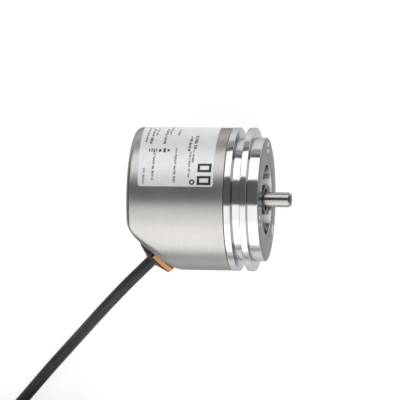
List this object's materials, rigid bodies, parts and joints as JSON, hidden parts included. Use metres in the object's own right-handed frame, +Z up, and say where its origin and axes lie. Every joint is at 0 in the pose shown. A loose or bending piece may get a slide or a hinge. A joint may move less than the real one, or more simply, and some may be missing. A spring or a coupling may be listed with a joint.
{
  "type": "rotary encoder",
  "caption": "Shaft encoder with a synchro flange, centring collar, round metal housing with a slanted cable corner, code disc inside, and a coiled cable with a round connector.",
  "frame": {"origin": "on the shaft axis, in the shoulder plane where the centring collar meets the front flange ring", "axes": "+X along the shaft axis towards the shaft's end, +Y away from the cable corner, +Z up; the encoder lies on its side on a surface at z = -0.029 m"},
  "size_m": [0.1393, 0.191, 0.058],
  "materials": {
    "flange_aluminium": "turned, bright",
    "housing_metal": "fine brushed round the axis, satin",
    "black_rubber": "matt",
    "label_foil": "printed satin foil",
    "bright_steel": "fine ground",
    "bearing_steel": "polished",
    "spring_steel": "blued, oiled",
    "screw_steel": "zinc plated",
    "black_plastic": "fine moulded texture",
    "white_plastic": "moulded",
    "clear_lens": "clear",
    "code_glass": "clear",
    "track_chrome": "thin dark chrome layer",
    "chip_black": "moulded epoxy",
    "board_green": "solder mask over glass fibre board",
    "brass_metal": "machined",
    "capacitor_tan": "ceramic and sleeve",
    "gold_contact": "gold plated",
    "wire_colours": "insulated strands in several colours",
    "orange_seal": "soft moulded elastomer",
    "cable_jacket": "matt polyurethane jacket",
    "shaft_steel": "ground stainless steel",
    "nut_nickel": "nickel plated, knurled"
  },
  "bodies": {
    "housing": {"flange": "flange_aluminium", "housing_cap": "housing_metal", "housing_o_ring": "black_rubber", "rating_label": "label_foil", "shaft_seal": "black_rubber", "seal_spring": "bright_steel", "front_outer_ring": "bearing_steel", "front_shields": "bright_steel", "rear_outer_ring": "bearing_steel", "rear_shields": "bright_steel", "outer_spacer": "bright_steel", "wave_spring": "spring_steel", "retaining_ring": "spring_steel", "emitter_bracket": "black_plastic", "bracket_screws": "screw_steel", "led": "clear_lens", "condenser_lens": "clear_lens", "reticle": "code_glass", "detector_chip": "chip_black", "sensor_board": "board_green", "output_board": "board_green", "board_posts": "brass_metal", "board_spacers": "white_plastic", "board_screws": "screw_steel", "driver_chip": "chip_black", "signal_chip": "chip_black", "capacitors": "capacitor_tan", "board_header": "chip_black", "header_pins": "gold_contact", "wire_socket": "white_plastic", "wires": "wire_colours", "gland_seal": "orange_seal", "strain_relief": "black_rubber", "gland_nut": "brass_metal", "cable_lead": "cable_jacket", "cable_coil": "cable_jacket", "cable_tail": "cable_jacket", "cable_ties": "black_plastic", "plug_relief": "black_rubber", "plug_body": "black_plastic", "plug_insert": "chip_black", "plug_pins": "gold_contact"},
    "rotor": {"shaft": "shaft_steel", "shaft_snap_ring": "spring_steel", "front_inner_ring": "bearing_steel", "rear_inner_ring": "bearing_steel", "inner_spacer": "bright_steel", "disc_hub": "brass_metal", "hub_screw": "spring_steel", "code_disc": "code_glass", "code_track": "track_chrome"},
    "front_cage": {"front_cage": "brass_metal", "front_balls": "bearing_steel"},
    "rear_cage": {"rear_cage": "brass_metal", "rear_balls": "bearing_steel"},
    "coupling_nut": {"plug_nut": "nut_nickel", "plug_o_ring": "black_rubber"}
  },
  "joints": [
    {"name": "shaft_spin", "type": "hinge", "parent": "housing", "child": "rotor", "pos_m": [0, 0, 0], "axis": [1, 0, 0], "continuous": true},
    {"name": "front_cage_spin", "type": "hinge", "parent": "housing", "child": "front_cage", "pos_m": [0, 0, 0], "axis": [1, 0, 0], "continuous": true},
    {"name": "rear_cage_spin", "type": "hinge", "parent": "housing", "child": "rear_cage", "pos_m": [0, 0, 0], "axis": [1, 0, 0], "continuous": true},
    {"name": "nut_spin", "type": "hinge", "parent": "housing", "child": "coupling_nut", "pos_m": [-0.0558, -0.1355, -0.0016], "axis": [1, 0, 0], "continuous": true}
  ],
  "couplings": [
    {"joint": "front_cage_spin", "follows": "shaft_spin", "ratio": 0.4167},
    {"joint": "rear_cage_spin", "follows": "shaft_spin", "ratio": 0.4167}
  ]
}
